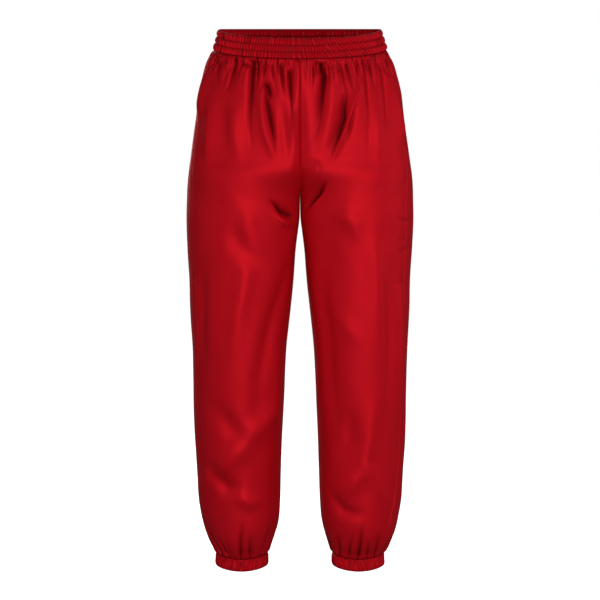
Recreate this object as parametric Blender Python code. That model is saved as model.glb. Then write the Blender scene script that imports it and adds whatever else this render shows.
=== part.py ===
"""Red satin jogger pants, filled out as they hang when worn, in metres with +Z up.

The front faces -Y and the origin is the middle of the waistband, half way up its sides. Lengths are millimetres
until a point is handed to Blender. A place on the cloth is given by its turn, from 0 at the centre-front seam (or
the inseam, below the crotch) round the side to 1 at the centre-back seam, and by its level, the height of the
section that it lies on. Left and right are the wearer's, so the left leg is at +X.
"""

import bpy
import numpy as np

MM = 0.001
SIDES = {"left": 1, "right": -1}

# Driving sizes
BAND_HEIGHT = 38.0
BAND_CHANNELS = 3
BAND_RIBS = 84
BAND_RIB_HEIGHT = 1.5
BAND_CHANNEL_SWELL = 1.3
BAND_WALL = 2.8
WAIST_FRONT_DROP = 17.2
TILT_FADES_AT = -260.0
CROTCH_LEVEL = -342.0
FRONT_CLEFT_LEVEL = -218.0
BACK_CLEFT_LEVEL = -232.0
# The torso's oval has full corners at the hips: its sine and cosine are raised to this power there, and to 1 at the
# waist.
HIP_CORNER = 0.74
HIP_LEVEL = -200.0
CUFF_TOP = -992.0
CUFF_BOTTOM = -1019.0
CUFF_RIBS = 28
CUFF_RIB_HEIGHT = 1.5
CUFF_SWELL = 2.2
CUFF_WALL = 2.6
PANEL_WALL = 1.5
# The share of a rib's height that is left where stitching or an edge holds it down.
STITCHED_RIB_SHARE = 0.35
SEAM_GAP = 0.3
SEAM_TURN = 0.0004

# Mesh fineness
FRONT_COLUMNS = 24
BACK_COLUMNS = 22
LEVELS_ABOVE_CROTCH = 12
LEVELS_BELOW_CROTCH = 11
CUFF_LEVELS = 5

# Sections from waist to ankle: half-width to the side, distance of the inseam from the centre, depth to the front
# and to the back of the section's middle, and how far that middle lies behind the origin.
SECTION_COLUMNS = ("level", "side", "inseam", "front", "back", "middle")
SECTIONS = (
    (19, 155, 0, 99, 102, 0),
    (0, 160.5, 0, 103, 106, 0),
    (-19, 166.5, 0, 107, 111, 0),
    (-33, 173, 0, 111, 116, 1),
    (-50, 180, 0, 113, 121, 1),
    (-67, 184.5, 0, 115, 126, 2),
    (-97, 192, 0, 117, 133, 2),
    (-143, 198, 0, 120, 142, 2),
    (-174, 202, 0, 121, 146, 2),
    (-219, 208, 0, 121, 148, 2),
    (-265, 213.8, 0, 119, 144, 2),
    (-311, 216, 0.2, 117, 134, 3),
    (-342, 217, 1, 116, 127, 4),
    (-365, 216.5, 3.8, 114, 122, 4),
    (-395, 215, 7.6, 112, 117, 3),
    (-456, 211.5, 12.5, 107, 109, 1),
    (-518, 209.8, 19, 102, 103, -2),
    (-579, 206.2, 25.5, 98, 99, -3),
    (-641, 204.3, 29, 95, 98, 0),
    (-703, 204, 31.5, 92, 98, 4),
    (-766, 202.5, 34.5, 89, 97, 8),
    (-828, 199, 36.5, 86, 94, 11),
    (-890, 194.5, 38.5, 82, 90, 13),
    (-922, 189.3, 41, 79, 86, 14),
    (-953, 182.6, 48, 72, 78, 14),
    (-970, 176.8, 53, 65, 69, 14),
    (-982, 171.5, 56.5, 57, 61, 14),
    (-992, 165.5, 59.5, 51, 54, 14),
    (-1019, 164, 61, 50, 53, 14),
)

# Where each side seam runs. It lies a little to the front of the side, and further forward along the pocket's mouth
# on the left hip.
SEAM_COLUMNS = ("level", "left", "right")
SIDE_SEAMS = (
    (-19, 0.368, 0.402),
    (-90, 0.368, 0.408),
    (-150, 0.390, 0.415),
    (-240, 0.402, 0.415),
    (-342, 0.412, 0.415),
    (-640, 0.415, 0.415),
    (-848, 0.410, 0.412),
    (-925, 0.388, 0.405),
    (-992, 0.412, 0.415),
)

# Folds: both ends as seen from the front (or, on the back, from behind), the half-width, and the depth, which is
# below zero for a trough and above it for a ridge. A pleat is at full depth under the band and dies away at its
# lower end. A drag fold dies away at both ends.
FOLD_COLUMNS = ("face", "kind", "upper_x", "upper_level", "lower_x", "lower_level", "half_width", "depth")
FOLDS = {
    "left": (
        ("front", "pleat", 27, -38, 22, -120, 9, -6),
        ("front", "pleat", 46, -38, 18, -205, 10, -8),
        ("front", "pleat", 84, -38, 100, -130, 10, -7),
        ("front", "pleat", 122, -34, 128, -215, 10, -6),
        ("front", "pleat", 152, -34, 164, -190, 9, -5),
        ("front", "drag", 116, -70, 64, -225, 12, 6),
        ("front", "pleat", 166, -30, 204, -235, 10, -7),
        ("front", "drag", 48, -262, 8, -338, 11, -7),
        ("front", "drag", 55, -800, 165, -900, 20, -6),
        ("front", "drag", 92, -370, 150, -560, 28, 5),
        ("back", "pleat", 24, -24, 20, -150, 10, -6),
        ("back", "pleat", 66, -24, 74, -200, 11, -7),
        ("back", "pleat", 106, -24, 118, -130, 10, -6),
        ("back", "pleat", 142, -22, 158, -210, 11, -6),
        ("back", "drag", 120, -250, 25, -325, 15, -7),
        ("back", "drag", 70, -560, 150, -620, 16, -6),
    ),
    "right": (
        ("front", "pleat", 22, -50, 6, -205, 9, -6),
        ("front", "pleat", 40, -38, 28, -140, 9, -6),
        ("front", "pleat", 68, -38, 48, -205, 10, -8),
        ("front", "pleat", 92, -36, 90, -205, 11, -6),
        ("front", "pleat", 126, -34, 144, -120, 10, -7),
        ("front", "drag", 108, -60, 98, -190, 11, 5),
        ("front", "pleat", 160, -30, 196, -180, 10, -7),
        ("front", "drag", 52, -300, 10, -336, 11, -7),
        ("front", "drag", 60, -730, 178, -862, 22, 6),
        ("front", "drag", 112, -830, 182, -880, 20, -6),
        ("back", "pleat", 30, -24, 26, -190, 11, -7),
        ("back", "pleat", 70, -24, 64, -140, 10, -6),
        ("back", "pleat", 110, -24, 124, -215, 11, -7),
        ("back", "pleat", 146, -22, 160, -150, 10, -6),
        ("back", "drag", 130, -235, 30, -318, 15, -7),
        ("back", "drag", 60, -590, 140, -540, 16, -6),
    ),
}

# Gathers above each cuff: how far round the leg they lie, how far up they reach and how deep they are.
GATHER_COLUMNS = ("turn", "reach", "depth")
CUFF_GATHERS = {
    "left": (
        (0.04, 60, 4), (0.13, 48, 4), (0.21, 74, 5), (0.30, 52, 4), (0.38, 66, 4),
        (0.50, 58, 5), (0.60, 72, 4), (0.70, 50, 5), (0.80, 68, 4), (0.91, 56, 4),
    ),
    "right": (
        (0.05, 52, 4), (0.14, 76, 4), (0.22, 56, 5), (0.29, 80, 4), (0.37, 58, 5),
        (0.49, 64, 4), (0.59, 50, 5), (0.71, 70, 4), (0.81, 54, 4), (0.92, 66, 5),
    ),
}
GATHER_HALF_WIDTH = 8.0

# How much of a fold's depth is left at a gathered seam, and how far from the seam it is whole again.
SEAM_SHARE = 0.3
SEAM_EASE = 26.0
# Within this distance of the centre plane a fold pushes forwards or back only, so the two legs stay apart.
CENTRE_EASE = 26.0

COLOURS = {
    "waistband": (0.46, 0.010, 0.022),
    "front_panel": (0.50, 0.010, 0.024),
    "back_panel": (0.44, 0.009, 0.020),
    "cuff": (0.42, 0.008, 0.018),
}
CLOTH_ROUGHNESS = 0.42
SHARP_ANGLE = np.radians(50)


def smoothstep(x):
    """0 below 0, 1 above 1 and a soft rise between."""
    x = np.clip(x, 0.0, 1.0)
    return x * x * (3.0 - 2.0 * x)


def read_smoothly(table, columns, name, level):
    """A column of a table at any level, on a smooth curve through its rows."""
    rows = np.array(table, float)[::-1]
    levels, values = rows[:, 0], rows[:, columns.index(name)]
    slopes = np.gradient(values, levels)
    level = np.clip(level, levels[0], levels[-1])
    at = np.clip(np.searchsorted(levels, level) - 1, 0, len(levels) - 2)
    span = levels[at + 1] - levels[at]
    s = (level - levels[at]) / span
    return (
        values[at] * (1 + 2 * s) * (1 - s) ** 2
        + values[at + 1] * s * s * (3 - 2 * s)
        + span * (slopes[at] * s * (1 - s) ** 2 - slopes[at + 1] * s * s * (1 - s))
    )


def fuller(value, power):
    """A sine or cosine raised to a power, with its sign kept."""
    return np.sign(value) * np.abs(value) ** power


def section_size(name, level):
    return read_smoothly(SECTIONS, SECTION_COLUMNS, name, level)


def side_seam_turn(side, level):
    return read_smoothly(SIDE_SEAMS, SEAM_COLUMNS, side, level)


def blend_depth(closing):
    """How deep the blend of a torso's and a leg's oval is, where either alone is 1 deep."""
    turn = np.linspace(0.0, 0.5, 101)[:, None]
    shares = np.linspace(0.0, 1.0, 41)
    torso, leg = fuller(np.cos(np.pi * turn), HIP_CORNER), np.sin(2 * np.pi * turn)
    return np.interp(closing, shares, ((1 - shares) * torso + shares * leg).max(axis=0))


def section(turn, level):
    """A point of the plain body: half of the torso's oval, which closes to a leg's oval down to the crotch."""
    side, inseam = section_size("side", level), section_size("inseam", level)
    depth = np.where(turn < 0.5, section_size("front", level), section_size("back", level))
    cleft = FRONT_CLEFT_LEVEL + (BACK_CLEFT_LEVEL - FRONT_CLEFT_LEVEL) * smoothstep(turn)
    closing = smoothstep((cleft - level) / (cleft - CROTCH_LEVEL))
    corner = 1 + (HIP_CORNER - 1) * smoothstep(level / HIP_LEVEL) * (1 - closing)
    # The blend of the two ovals is too shallow towards the front and the back, so it is deepened there.
    off_side = smoothstep(4 * np.abs(turn - 0.5))
    depth = depth / (1 - (1 - blend_depth(closing)) * off_side)
    torso_x = side * fuller(np.sin(np.pi * turn), corner)
    torso_y = -depth * fuller(np.cos(np.pi * turn), corner)
    leg_x = (side + inseam) / 2 - (side - inseam) / 2 * np.cos(2 * np.pi * turn)
    leg_y = -depth * np.sin(2 * np.pi * turn)
    x = torso_x + (leg_x - torso_x) * closing
    y = torso_y + (leg_y - torso_y) * closing
    return x, y + section_size("middle", level)


def section_normal(turn, level):
    """The level direction that points out of the cloth."""
    step = 1e-4
    x0, y0 = section(turn - step, level)
    x1, y1 = section(turn + step, level)
    along_x, along_y = x1 - x0, y1 - y0
    length = np.hypot(along_x, along_y)
    return along_y / length, -along_x / length


def girth(level):
    """The length of one side's section from front seam to back seam."""
    turn = np.linspace(0.0, 1.0, 201)
    x, y = section(turn, np.full_like(turn, level))
    return np.hypot(np.diff(x), np.diff(y)).sum()


def turn_at(face, x, level):
    """The turn where the plain body, seen from the front or from behind, has this distance from the centre."""
    turn = np.linspace(0.02, 0.47, 181) if face == "front" else np.linspace(0.98, 0.53, 181)
    across, _ = section(turn, np.full_like(turn, float(level)))
    return float(np.interp(x, across, turn))


def waist_tilt(turn, level):
    """How far the cloth hangs lower at the front, where the waist sits lower than at the back."""
    lift = -WAIST_FRONT_DROP * np.maximum(np.cos(np.pi * turn), 0.0)
    return lift * smoothstep((level - TILT_FADES_AT) / (-BAND_HEIGHT / 2 - TILT_FADES_AT))


def fold_push(side, turn, level):
    """How far all folds of one side push the cloth out of its plain form."""
    push = np.zeros_like(turn)
    for row in FOLDS[side]:
        fold = dict(zip(FOLD_COLUMNS, row))
        width_here = girth((fold["upper_level"] + fold["lower_level"]) / 2)
        upper = turn_at(fold["face"], fold["upper_x"], fold["upper_level"]) * width_here
        lower = turn_at(fold["face"], fold["lower_x"], fold["lower_level"]) * width_here
        run_x, run_z = lower - upper, fold["lower_level"] - fold["upper_level"]
        length = np.hypot(run_x, run_z)
        from_x, from_z = turn * width_here - upper, level - fold["upper_level"]
        along = (from_x * run_x + from_z * run_z) / length**2
        across = (from_x * run_z - from_z * run_x) / length
        if fold["kind"] == "pleat":
            strength = 1 - smoothstep(along)
        else:
            strength = np.sin(np.pi * np.clip(along, 0, 1)) ** 2
        push += fold["depth"] * strength * np.exp(-((across / fold["half_width"]) ** 2))
    for row in CUFF_GATHERS[side]:
        gather = dict(zip(GATHER_COLUMNS, row))
        across = (turn - gather["turn"]) * girth(CUFF_TOP)
        strength = 1 - smoothstep((level - CUFF_TOP) / gather["reach"])
        push -= gather["depth"] * strength * np.exp(-((across / GATHER_HALF_WIDTH) ** 2))
    from_seam = np.minimum(-BAND_HEIGHT / 2 - level, level - CUFF_TOP)
    return push * (SEAM_SHARE + (1 - SEAM_SHARE) * smoothstep(from_seam / SEAM_EASE))


def cloth_points(side, turn, level, push, inset=0.0, from_centre=0.0):
    """Points of the cloth, pushed out by its folds and set in by its wall."""
    x, y = section(turn, level)
    out_x, out_y = section_normal(turn, level)
    x = x + out_x * (push * smoothstep(x / CENTRE_EASE) - inset) + from_centre
    y = y + out_y * (push - inset)
    return np.stack((SIDES[side] * x, y, level + waist_tilt(turn, level)), axis=-1) * MM


def material(name, colour):
    made = bpy.data.materials.new(name)
    made.use_nodes = True
    shader = made.node_tree.nodes["Principled BSDF"]
    shader.inputs["Base Color"].default_value = (*colour, 1.0)
    shader.inputs["Roughness"].default_value = CLOTH_ROUGHNESS
    shader.inputs["Metallic"].default_value = 0.0
    return made


def add_solid(name, points, faces, colour, collection):
    """A smooth-shaded object of one closed mesh, with sharp rims."""
    mesh = bpy.data.meshes.new(name)
    mesh.from_pydata(points.tolist(), [], faces)
    if volume(points, faces) < 0:
        mesh.flip_normals()
    mesh.shade_smooth()
    mesh.set_sharp_from_angle(angle=SHARP_ANGLE)
    mesh.materials.append(material(name, colour))
    collection.objects.link(bpy.data.objects.new(name, mesh))


def volume(points, faces):
    """The volume inside a closed mesh of quads, below zero where its faces point in."""
    corners = points[np.array(faces)]
    first = np.einsum("ij,ij->i", corners[:, 0], np.cross(corners[:, 1], corners[:, 2]))
    second = np.einsum("ij,ij->i", corners[:, 0], np.cross(corners[:, 2], corners[:, 3]))
    return (first + second).sum() / 6


def ring_solid(name, rows, colour, collection):
    """A ring from rows of points round it: down its outer skin, then up its inner one."""
    row_count, columns, _ = rows.shape
    faces = []
    for row in range(row_count):
        for column in range(columns):
            corners = ((row, column), (row + 1, column), (row + 1, column + 1), (row, column + 1))
            faces.append([i % row_count * columns + j % columns for i, j in corners])
    add_solid(name, rows.reshape(-1, 3), faces, colour, collection)


def panel_solid(name, outer, inner, colour, collection):
    """A wall between two grids of points, closed along its four edges."""
    rows, columns, _ = outer.shape
    # Each level is one loop: out along the outer skin and back along the inner one.
    loops = np.concatenate((outer, inner[:, ::-1]), axis=1)
    around = 2 * columns
    faces = []
    for row in range(rows - 1):
        for column in range(around):
            corners = ((row, column), (row + 1, column), (row + 1, column + 1), (row, column + 1))
            faces.append([i * around + j % around for i, j in corners])
    last = (rows - 1) * around
    for column in range(columns - 1):
        rim = [column, column + 1, around - 2 - column, around - 1 - column]
        faces.append(rim)
        faces.append([last + i for i in rim[::-1]])
    add_solid(name, loops.reshape(-1, 3), faces, colour, collection)


def panel_levels():
    """Levels of a panel's rows: close together under the band, at the crotch and above the cuff."""
    top, bottom = -BAND_HEIGHT / 2 - SEAM_GAP, CUFF_TOP + SEAM_GAP
    above = np.linspace(0.0, 1.0, LEVELS_ABOVE_CROTCH + 1)
    above = above - 0.07 * np.sin(2 * np.pi * above)
    below = np.linspace(0.0, 1.0, LEVELS_BELOW_CROTCH + 1)[1:]
    below = below - 0.105 * np.sin(2 * np.pi * below)
    return np.concatenate((top + (CROTCH_LEVEL - top) * above, CROTCH_LEVEL + (bottom - CROTCH_LEVEL) * below))


def make_panel(face, side, columns, colour, collection):
    """One leg panel from waist to cuff, between its side seam and the centre seam and inseam."""
    across, level = np.meshgrid(np.linspace(0.0, 1.0, columns + 1), panel_levels())
    side_seam = side_seam_turn(side, level)
    first = SEAM_TURN if face == "front" else side_seam + SEAM_TURN
    last = side_seam - SEAM_TURN if face == "front" else 1 - SEAM_TURN
    turn = first + (last - first) * across
    push = fold_push(side, turn, level)
    outer = cloth_points(side, turn, level, push, from_centre=SEAM_GAP / 2)
    inner = cloth_points(side, turn, level, push, inset=PANEL_WALL, from_centre=SEAM_GAP / 2)
    panel_solid(f"{face}_panel_{side}", outer, inner, colour, collection)


def rib_push(columns, height):
    """Ribs round a gathered band: every second point stands out."""
    return np.where(np.arange(columns) % 2 == 0, height, 0.0)


def band_ring(level, inset):
    """One row of points round the whole waist, from the centre front by the left side."""
    columns = 2 * BAND_RIBS
    turn = 2 * np.arange(columns) / columns
    ring = np.empty((columns, 3))
    for side, half, half_turn in (("left", turn < 1, turn), ("right", turn >= 1, 2 - turn)):
        ring[half] = cloth_points(side, half_turn[half], np.full(half.sum(), level), 0.0, inset[half])
    return ring


def make_waistband(colour, collection):
    """A ruched elastic ring with three channels between its stitch lines and a plain inside."""
    columns = 2 * BAND_RIBS
    rows = []
    for step in range(2 * BAND_CHANNELS + 1):
        level = BAND_HEIGHT / 2 - BAND_HEIGHT * step / (2 * BAND_CHANNELS)
        # 1 in the middle of a channel and 0 on a stitch line or an edge.
        swell = step % 2
        ribs = rib_push(columns, BAND_RIB_HEIGHT) * (STITCHED_RIB_SHARE + (1 - STITCHED_RIB_SHARE) * swell)
        rows.append(band_ring(level, -ribs - BAND_CHANNEL_SWELL * swell))
    for level in (-BAND_HEIGHT / 2, BAND_HEIGHT / 2):
        rows.append(band_ring(level, np.full(columns, BAND_WALL)))
    ring_solid("waistband", np.array(rows), colour, collection)


def make_cuff(name, side, colour, collection):
    """A short ruched elastic ring round the ankle, with a plain inside."""
    columns = 2 * CUFF_RIBS
    turn = np.arange(columns) / columns
    rows = []
    for down in np.linspace(0.0, 1.0, CUFF_LEVELS):
        level = np.full(columns, CUFF_TOP + (CUFF_BOTTOM - CUFF_TOP) * down)
        swell = np.sin(np.pi * down)
        ribs = rib_push(columns, CUFF_RIB_HEIGHT) * (STITCHED_RIB_SHARE + (1 - STITCHED_RIB_SHARE) * swell)
        rows.append(cloth_points(side, turn, level, 0.0, -ribs - CUFF_SWELL * swell))
    for end in (CUFF_BOTTOM, CUFF_TOP):
        rows.append(cloth_points(side, turn, np.full(columns, end), 0.0, CUFF_WALL))
    ring_solid(name, np.array(rows), colour, collection)


def make_pants():
    for old in list(bpy.data.objects):
        bpy.data.objects.remove(old)
    pants = bpy.data.collections.new("jogger_pants")
    bpy.context.scene.collection.children.link(pants)
    make_waistband(COLOURS["waistband"], pants)
    for side in SIDES:
        make_panel("front", side, FRONT_COLUMNS, COLOURS["front_panel"], pants)
        make_panel("back", side, BACK_COLUMNS, COLOURS["back_panel"], pants)
        make_cuff(f"cuff_{side}", side, COLOURS["cuff"], pants)


make_pants()
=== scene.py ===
# %% [markdown]
# # Red satin joggers
#
# This lesson dresses the plain solids of a pair of satin joggers. The trousers are filled out as they hang when
# worn, so the cloth is a hollow form: two legs that join in a torso, a ruched band at the waist and a short ruched
# cuff at each ankle. Satin shows every dent as a band of light, so most of the work is in the folds.

# %% Load the solids
import bpy
import numpy as np
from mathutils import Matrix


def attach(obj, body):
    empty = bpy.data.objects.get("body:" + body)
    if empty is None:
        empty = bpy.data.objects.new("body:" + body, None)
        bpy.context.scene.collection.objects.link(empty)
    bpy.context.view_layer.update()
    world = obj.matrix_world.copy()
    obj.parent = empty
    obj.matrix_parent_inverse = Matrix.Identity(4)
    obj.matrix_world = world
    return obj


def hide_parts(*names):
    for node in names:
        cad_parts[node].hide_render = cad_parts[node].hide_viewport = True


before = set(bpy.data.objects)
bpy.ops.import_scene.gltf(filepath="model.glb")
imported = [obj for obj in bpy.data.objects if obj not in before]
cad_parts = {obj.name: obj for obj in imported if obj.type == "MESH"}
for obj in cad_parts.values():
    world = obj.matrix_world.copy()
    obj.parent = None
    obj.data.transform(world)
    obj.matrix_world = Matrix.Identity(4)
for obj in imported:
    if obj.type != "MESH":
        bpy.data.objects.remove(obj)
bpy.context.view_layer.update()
MM = 0.001
SIDES = {"left": 1, "right": -1}
print("nodes:", sorted(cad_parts))

# %% [markdown]
# ## Camera and studio
#
# A product photograph of clothes is taken from far away with a long lens, so the legs do not shrink towards the
# feet. The camera here stands six metres off and looks down by five degrees. The floor is one pale plane. One broad
# light in front makes the satin's long highlights, and weak ones fill the sides.

# %% Camera
CAMERA_DISTANCE = 6.0
CAMERA_TILT = np.radians(5)
FRAME_HEIGHT = 1.149
SENSOR_WIDTH = 36.0
LOOK_AT = np.array([0.0, 0.0, -0.498])


def add_camera():
    offset = CAMERA_DISTANCE * np.array([0.0, -np.cos(CAMERA_TILT), np.sin(CAMERA_TILT)])
    bpy.ops.object.camera_add(location=LOOK_AT + offset, rotation=(np.pi / 2 - CAMERA_TILT, 0.0, 0.0))
    camera = bpy.context.object
    camera.data.sensor_width = SENSOR_WIDTH
    camera.data.lens = SENSOR_WIDTH * CAMERA_DISTANCE / FRAME_HEIGHT
    bpy.context.scene.camera = camera
    print(f"camera: {camera.data.lens:.0f} mm lens at {CAMERA_DISTANCE} m")


add_camera()

# %% Shader maths
class Shade:
    """A shader socket. Sums and products of these add the Math nodes that work them out."""

    def __init__(self, tree, socket=None):
        self.tree = tree
        self.socket = socket

    def node(self, kind, settings=None, inputs=None, output=0):
        """Any node: its settings come first, then the values or links of its sockets."""
        made = self.tree.nodes.new(kind)
        for name, value in (settings or {}).items():
            setattr(made, name, value)
        for name, value in (inputs or {}).items():
            if isinstance(value, Shade):
                self.tree.links.new(value.socket, made.inputs[name])
            else:
                made.inputs[name].default_value = value
        return Shade(self.tree, made.outputs[output])

    def math(self, operation, first, second=0.0):
        return self.node("ShaderNodeMath", {"operation": operation}, {0: first, 1: second})

    def __add__(self, other):
        return self.math("ADD", self, other)

    def __radd__(self, other):
        return self.math("ADD", other, self)

    def __sub__(self, other):
        return self.math("SUBTRACT", self, other)

    def __rsub__(self, other):
        return self.math("SUBTRACT", other, self)

    def __mul__(self, other):
        return self.math("MULTIPLY", self, other)

    def __rmul__(self, other):
        return self.math("MULTIPLY", other, self)


# %% [markdown]
# ## The satin
#
# Satin is woven with long floating threads, so it is smooth and shines in soft bands along its folds. Its highlights
# keep the cloth's own red, which a partly metallic surface does. A fine bump stands for the threads, and a larger
# one for the faint crumple that a smooth cloth never loses. Both read the cloth's own UV map, which is laid out in
# metres, so that they follow the weave round each leg. The base colour is darkened in the creases, grooves and fine
# gathers, which is painted shade.

# %% Satin material
SATIN_RED = (0.68, 0.006, 0.017)
SATIN_DEEP_RED = (0.60, 0.004, 0.011)
# Colour and strengths of the painted shade in creases and fine gather lines.
SATIN_SHADE = (0.07, 0.0, 0.001)
CREASE_SHADE = 0.85
FINE_LINE_SHADE = 0.6
FINE_LINES_PER_METRE = 190
SATIN_ROUGHNESS = 0.60
SATIN_METALLIC = 0.42
THREADS_PER_METRE = 2200
CRUMPLE_PER_METRE = 38
CRUMPLE_HEIGHT = 0.0006


def satin(name, light, deep, roughness):
    """A woven satin that reads the UV map, in metres."""
    material = bpy.data.materials.new(name)
    material.use_nodes = True
    tree = material.node_tree
    shader = tree.nodes["Principled BSDF"]
    start = Shade(tree)
    cloth = start.node("ShaderNodeUVMap", {"uv_map": "UVMap"})
    weave = start.node("ShaderNodeTexWave", {"wave_type": "BANDS", "bands_direction": "DIAGONAL"},
                       {"Vector": cloth, "Scale": THREADS_PER_METRE / 6, "Distortion": 1.5, "Detail": 2.0}, 1)
    crumple = start.node("ShaderNodeTexNoise", {}, {"Vector": cloth, "Scale": CRUMPLE_PER_METRE, "Detail": 4.0,
                                                    "Roughness": 0.55})
    slub = start.node("ShaderNodeTexNoise", {}, {"Vector": start.node(
        "ShaderNodeMapping", {}, {"Vector": cloth, "Scale": (900.0, 60.0, 1.0)}), "Scale": 1.0, "Detail": 3.0})
    mottle = start.node("ShaderNodeTexNoise", {}, {"Vector": cloth, "Scale": 9.0, "Detail": 2.0})
    colour = start.node("ShaderNodeMix", {"data_type": "RGBA"}, {
        0: mottle * 0.6 + slub * 0.4, 6: (*deep, 1.0), 7: (*light, 1.0)}, 2)
    # Painted shade: the stored crease shade darkens the base colour towards SATIN_SHADE in fold troughs, rib valleys,
    # band grooves, under the band, over the cuffs and in the pocket mouths.
    painted_crease_shade = start.node("ShaderNodeAttribute", {"attribute_name": "painted_crease_shade"}, None, 2)
    # Painted shade: thin noise lines where the cloth is gathered under the band darken the base colour as the shade of
    # fine gathers. They also dent the bump.
    gather_line_noise = start.node("ShaderNodeTexNoise", {}, {"Vector": start.node(
        "ShaderNodeMapping", {}, {"Vector": cloth, "Scale": (FINE_LINES_PER_METRE, 9.0, 1.0)}), "Scale": 1.0,
        "Detail": 2.0})
    gathered = start.node("ShaderNodeAttribute", {"attribute_name": "gathered"}, None, 2)
    lines = start.node("ShaderNodeMapRange", {"clamp": True}, {"Value": gather_line_noise, "From Min": 0.42, "From Max": 0.34})
    lines = lines * gathered
    # The base colour is mixed towards the painted shade colour by the crease shade and the fine gather lines.
    shaded = start.node("ShaderNodeMix", {"data_type": "RGBA"}, {
        0: painted_crease_shade * CREASE_SHADE + lines * FINE_LINE_SHADE, 6: colour, 7: (*SATIN_SHADE, 1.0)}, 2)
    tree.links.new(shaded.socket, shader.inputs["Base Color"])
    tree.links.new((slub * 0.10 + mottle * 0.06 + (roughness - 0.08)).socket, shader.inputs["Roughness"])
    fine = start.node("ShaderNodeBump", {}, {"Strength": 0.12, "Distance": 0.0002, "Height": weave})
    bump = start.node("ShaderNodeBump", {}, {"Strength": 1.0, "Distance": CRUMPLE_HEIGHT,
                                             "Height": crumple - lines * 2.0, "Normal": fine})
    tree.links.new(bump.socket, shader.inputs["Normal"])
    shader.inputs["Metallic"].default_value = SATIN_METALLIC
    shader.inputs["Specular IOR Level"].default_value = 0.12
    shader.inputs["Specular Tint"].default_value = (1.0, 0.6, 0.62, 1.0)
    return material


panel_satin = satin("panel_satin", SATIN_RED, SATIN_DEEP_RED, SATIN_ROUGHNESS)
band_satin = satin("band_satin", SATIN_RED, SATIN_DEEP_RED, SATIN_ROUGHNESS + 0.04)

# %% [markdown]
# ## The form of the trousers
#
# A place on the cloth is named by its turn, from 0 at the centre-front seam or the inseam, round the side, to 1 at
# the back, and by its level, which is a height. The table holds the sizes of the section at each level, in
# millimetres. Above the crotch a section is half an oval, and between the cleft and the crotch it closes into the
# oval of a leg. One function for the whole form keeps every panel on the same surface.

# %% Sizes of the form
BAND_HEIGHT = 38.0
WAIST_FRONT_DROP = 17.2
TILT_FADES_AT = -260.0
CROTCH_LEVEL = -342.0
FRONT_CLEFT_LEVEL = -218.0
BACK_CLEFT_LEVEL = -232.0
HIP_CORNER = 0.74
HIP_LEVEL = -200.0
INNER_CORNER = 0.55
INNER_FADES_AT = -620.0
CUFF_TOP = -992.0
CUFF_BOTTOM = -1019.0
CUFF_SIDE_RISE = 6.0
CUFF_SEAM_DROP = 3.2
CUFF_ARCH_FADES_AT = -880.0
CENTRE_EASE = 26.0
SEAM_GAP = 0.1

SECTION_COLUMNS = ("level", "side", "inseam", "front", "back", "middle")
SECTIONS = (
    (19, 155, 0, 99, 102, 0),
    (0, 160.5, 0, 103, 106, 0),
    (-19, 166.5, 0, 107, 111, 0),
    (-33, 173, 0, 111, 116, 1),
    (-50, 180, 0, 113, 121, 1),
    (-67, 184.5, 0, 115, 126, 2),
    (-97, 192, 0, 117, 133, 2),
    (-143, 198, 0, 120, 142, 2),
    (-174, 202, 0, 121, 146, 2),
    (-219, 208, 0, 121, 148, 2),
    (-265, 213.8, 0, 119, 144, 2),
    (-311, 216, 0.2, 117, 134, 3),
    (-342, 217, 1, 116, 127, 4),
    (-365, 216.5, 3.8, 114, 122, 4),
    (-395, 215, 7.6, 112, 117, 3),
    (-456, 211.5, 12.5, 107, 109, 1),
    (-518, 209.8, 19, 102, 103, -2),
    (-579, 206.2, 25.5, 98, 99, -3),
    (-641, 204.3, 29, 95, 98, 0),
    (-703, 204, 31.5, 92, 98, 4),
    (-766, 202.5, 34.5, 89, 97, 8),
    (-828, 199, 36.5, 86, 94, 11),
    (-890, 194.5, 38.5, 82, 90, 13),
    (-922, 189.3, 41, 79, 86, 14),
    (-953, 182.6, 48, 72, 78, 14),
    (-970, 176.8, 53, 65, 69, 14),
    (-982, 171.5, 56.5, 57, 61, 14),
    (-992, 165.5, 59.5, 51, 54, 14),
    (-1019, 164, 61, 50, 53, 14),
)
SEAM_COLUMNS = ("level", "left", "right")
SIDE_SEAMS = (
    (-19, 0.368, 0.402),
    (-90, 0.368, 0.408),
    (-150, 0.390, 0.415),
    (-240, 0.402, 0.415),
    (-342, 0.412, 0.415),
    (-640, 0.415, 0.415),
    (-848, 0.410, 0.412),
    (-925, 0.388, 0.405),
    (-992, 0.412, 0.415),
)


# %% The form as a function
def smoothstep(x):
    """0 below 0, 1 above 1 and a soft rise between."""
    x = np.clip(x, 0.0, 1.0)
    return x * x * (3.0 - 2.0 * x)


def read_smoothly(table, columns, name, level):
    """A column of a table at any level, on a smooth curve through its rows."""
    rows = np.array(table, float)[::-1]
    levels, values = rows[:, 0], rows[:, columns.index(name)]
    slopes = np.gradient(values, levels)
    level = np.clip(level, levels[0], levels[-1])
    at = np.clip(np.searchsorted(levels, level) - 1, 0, len(levels) - 2)
    span = levels[at + 1] - levels[at]
    s = (level - levels[at]) / span
    return (
        values[at] * (1 + 2 * s) * (1 - s) ** 2
        + values[at + 1] * s * s * (3 - 2 * s)
        + span * (slopes[at] * s * (1 - s) ** 2 - slopes[at + 1] * s * s * (1 - s))
    )


def section_size(name, level):
    return read_smoothly(SECTIONS, SECTION_COLUMNS, name, level)


def side_seam_turn(side, level):
    return read_smoothly(SIDE_SEAMS, SEAM_COLUMNS, side, level)


def fuller(value, power):
    """A sine or cosine raised to a power, with its sign kept."""
    return np.sign(value) * np.abs(value) ** power


def blend_depth(closing):
    """How deep the blend of a torso's and a leg's oval is, where either alone is 1 deep."""
    turn = np.linspace(0.0, 0.5, 101)[:, None]
    shares = np.linspace(0.0, 1.0, 41)
    torso, leg = fuller(np.cos(np.pi * turn), HIP_CORNER), np.sin(2 * np.pi * turn)
    return np.interp(closing, shares, ((1 - shares) * torso + shares * leg).max(axis=0))


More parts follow.
